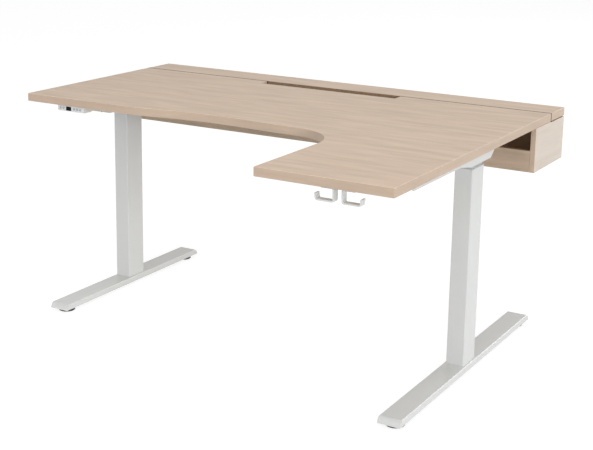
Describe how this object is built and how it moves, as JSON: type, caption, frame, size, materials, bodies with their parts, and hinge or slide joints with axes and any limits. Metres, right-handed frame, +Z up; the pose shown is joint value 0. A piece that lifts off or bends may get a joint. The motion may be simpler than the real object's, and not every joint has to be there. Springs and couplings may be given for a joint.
{
  "type": "height adjustable standing desk",
  "caption": "Electric L-shaped sit-stand desk: wooden corner top with a lift-up rear flap over a cable tray, on telescopic steel T-legs, with a handset and bag hooks.",
  "frame": {"origin": "on the floor under the centre of the desk's bounding box, at its lowest height", "axes": "+X along the desk's width to the return's side, +Y to the rear edge with the flap, +Z up"},
  "size_m": [1.5, 1.2064, 0.682],
  "materials": {
    "maple_board": "light maple melamine, fine grain along the desk's width, satin",
    "white_steel": "white powder coat, satin",
    "zinc_steel": "bright zinc plate",
    "drawn_steel": "drawn bar, oiled",
    "cast_housing": "die-cast, bead blasted",
    "black_plastic": "fine texture, matte",
    "black_glide": "matte black coat on steel",
    "white_plastic": "fine texture, satin",
    "grey_plastic": "fine texture, matte",
    "display_pane": "dark glossy pane",
    "black_rubber": "soft rubber"
  },
  "bodies": {
    "left_base": {"left_foot": "white_steel", "left_outer_tube": "white_steel", "left_outer_collar": "grey_plastic"},
    "left_front_glide": {"left_front_glide": "black_glide"},
    "left_rear_glide": {"left_rear_glide": "black_glide"},
    "left_middle_stage": {"left_middle_tube": "white_steel", "left_middle_collar": "grey_plastic", "left_nut_tube": "zinc_steel"},
    "left_hollow_spindle": {"left_hollow_spindle": "drawn_steel"},
    "desk_top": {"desktop": "maple_board", "tray_left_side": "maple_board", "tray_right_side": "maple_board", "tray_bottom": "maple_board", "tray_lip": "maple_board", "tray_back": "maple_board", "flap_bumper_left": "black_rubber", "flap_bumper_right": "black_rubber", "hinge_1_fixed_leaf": "zinc_steel", "hinge_1_pin": "drawn_steel", "hinge_2_fixed_leaf": "zinc_steel", "hinge_2_pin": "drawn_steel", "hinge_3_fixed_leaf": "zinc_steel", "hinge_3_pin": "drawn_steel", "left_rail": "white_steel", "right_rail": "white_steel", "left_gearbox": "cast_housing", "right_gearbox": "cast_housing", "left_motor": "cast_housing", "right_motor": "cast_housing", "left_inner_tube": "white_steel", "right_inner_tube": "white_steel", "front_crossbeam": "white_steel", "rear_crossbeam": "white_steel", "control_box": "black_plastic", "power_inlet": "grey_plastic", "handset_housing": "white_plastic", "handset_display": "display_pane", "left_hook": "white_steel", "right_hook": "white_steel"},
    "flap": {"rear_flap": "maple_board", "hinge_1_flap_leaf": "zinc_steel", "hinge_2_flap_leaf": "zinc_steel", "hinge_3_flap_leaf": "zinc_steel"},
    "left_drive_tube": {"left_drive_tube": "drawn_steel"},
    "right_drive_tube": {"right_drive_tube": "drawn_steel"},
    "right_middle_stage": {"right_middle_tube": "white_steel", "right_middle_collar": "grey_plastic", "right_nut_tube": "zinc_steel"},
    "right_hollow_spindle": {"right_hollow_spindle": "drawn_steel"},
    "right_base": {"right_foot": "white_steel", "right_outer_tube": "white_steel", "right_outer_collar": "grey_plastic"},
    "right_front_glide": {"right_front_glide": "black_glide"},
    "right_rear_glide": {"right_rear_glide": "black_glide"},
    "up_button": {"up_button": "grey_plastic"},
    "down_button": {"down_button": "grey_plastic"},
    "memory_1_button": {"memory_1_button": "grey_plastic"},
    "memory_2_button": {"memory_2_button": "grey_plastic"},
    "memory_3_button": {"memory_3_button": "grey_plastic"}
  },
  "joints": [
    {"name": "left_middle_lift", "type": "slide", "parent": "left_base", "child": "left_middle_stage", "axis": [0, 0, 1], "range_m": [0, 0.3]},
    {"name": "left_inner_lift", "type": "slide", "parent": "left_middle_stage", "child": "desk_top", "axis": [0, 0, 1], "range_m": [0, 0.3]},
    {"name": "right_inner_lift", "type": "slide", "parent": "desk_top", "child": "right_middle_stage", "axis": [0, 0, -1], "range_m": [0, 0.3]},
    {"name": "right_middle_lift", "type": "slide", "parent": "right_middle_stage", "child": "right_base", "axis": [0, 0, -1], "range_m": [0, 0.3]},
    {"name": "left_hollow_spindle_turn", "type": "hinge", "parent": "desk_top", "child": "left_hollow_spindle", "pos_m": [-0.59, 0.14585, 0.3], "axis": [0, 0, 1], "range_deg": [0, 5401]},
    {"name": "right_hollow_spindle_turn", "type": "hinge", "parent": "desk_top", "child": "right_hollow_spindle", "pos_m": [0.675, 0.02785, 0.3], "axis": [0, 0, 1], "range_deg": [0, 5401]},
    {"name": "left_drive_tube_turn", "type": "hinge", "parent": "left_middle_stage", "child": "left_drive_tube", "pos_m": [-0.59, 0.14585, 0.3], "axis": [0, 0, 1], "range_deg": [0, 5401]},
    {"name": "right_drive_tube_turn", "type": "hinge", "parent": "right_middle_stage", "child": "right_drive_tube", "pos_m": [0.675, 0.02785, 0.3], "axis": [0, 0, 1], "range_deg": [0, 5401]},
    {"name": "flap_hinge", "type": "hinge", "parent": "desk_top", "child": "flap", "pos_m": [0, 0.60015, 0.6555], "axis": [-1, 0, 0], "range_deg": [0, 95]},
    {"name": "left_front_glide_adjust", "type": "slide", "parent": "left_base", "child": "left_front_glide", "axis": [0, 0, -1], "range_m": [0, 0.008]},
    {"name": "left_rear_glide_adjust", "type": "slide", "parent": "left_base", "child": "left_rear_glide", "axis": [0, 0, -1], "range_m": [0, 0.008]},
    {"name": "right_front_glide_adjust", "type": "slide", "parent": "right_base", "child": "right_front_glide", "axis": [0, 0, -1], "range_m": [0, 0.008]},
    {"name": "right_rear_glide_adjust", "type": "slide", "parent": "right_base", "child": "right_rear_glide", "axis": [0, 0, -1], "range_m": [0, 0.008]},
    {"name": "up_button_press", "type": "slide", "parent": "desk_top", "child": "up_button", "axis": [0, 1, 0], "range_m": [0, 0.0012], "stiffness_N_per_m": 400, "springref_m": -0.001},
    {"name": "down_button_press", "type": "slide", "parent": "desk_top", "child": "down_button", "axis": [0, 1, 0], "range_m": [0, 0.0012], "stiffness_N_per_m": 400, "springref_m": -0.001},
    {"name": "memory_1_button_press", "type": "slide", "parent": "desk_top", "child": "memory_1_button", "axis": [0, 1, 0], "range_m": [0, 0.0012], "stiffness_N_per_m": 400, "springref_m": -0.001},
    {"name": "memory_2_button_press", "type": "slide", "parent": "desk_top", "child": "memory_2_button", "axis": [0, 1, 0], "range_m": [0, 0.0012], "stiffness_N_per_m": 400, "springref_m": -0.001},
    {"name": "memory_3_button_press", "type": "slide", "parent": "desk_top", "child": "memory_3_button", "axis": [0, 1, 0], "range_m": [0, 0.0012], "stiffness_N_per_m": 400, "springref_m": -0.001}
  ],
  "couplings": [
    {"joint": "left_inner_lift", "follows": "left_middle_lift", "ratio": 1},
    {"joint": "right_inner_lift", "follows": "left_middle_lift", "ratio": 1},
    {"joint": "right_middle_lift", "follows": "left_middle_lift", "ratio": 1},
    {"joint": "left_hollow_spindle_turn", "follows": "left_middle_lift", "rad_per_m": 314.16},
    {"joint": "right_hollow_spindle_turn", "follows": "left_middle_lift", "rad_per_m": 314.16},
    {"joint": "left_drive_tube_turn", "follows": "left_middle_lift", "rad_per_m": 314.16},
    {"joint": "right_drive_tube_turn", "follows": "left_middle_lift", "rad_per_m": 314.16}
  ]
}
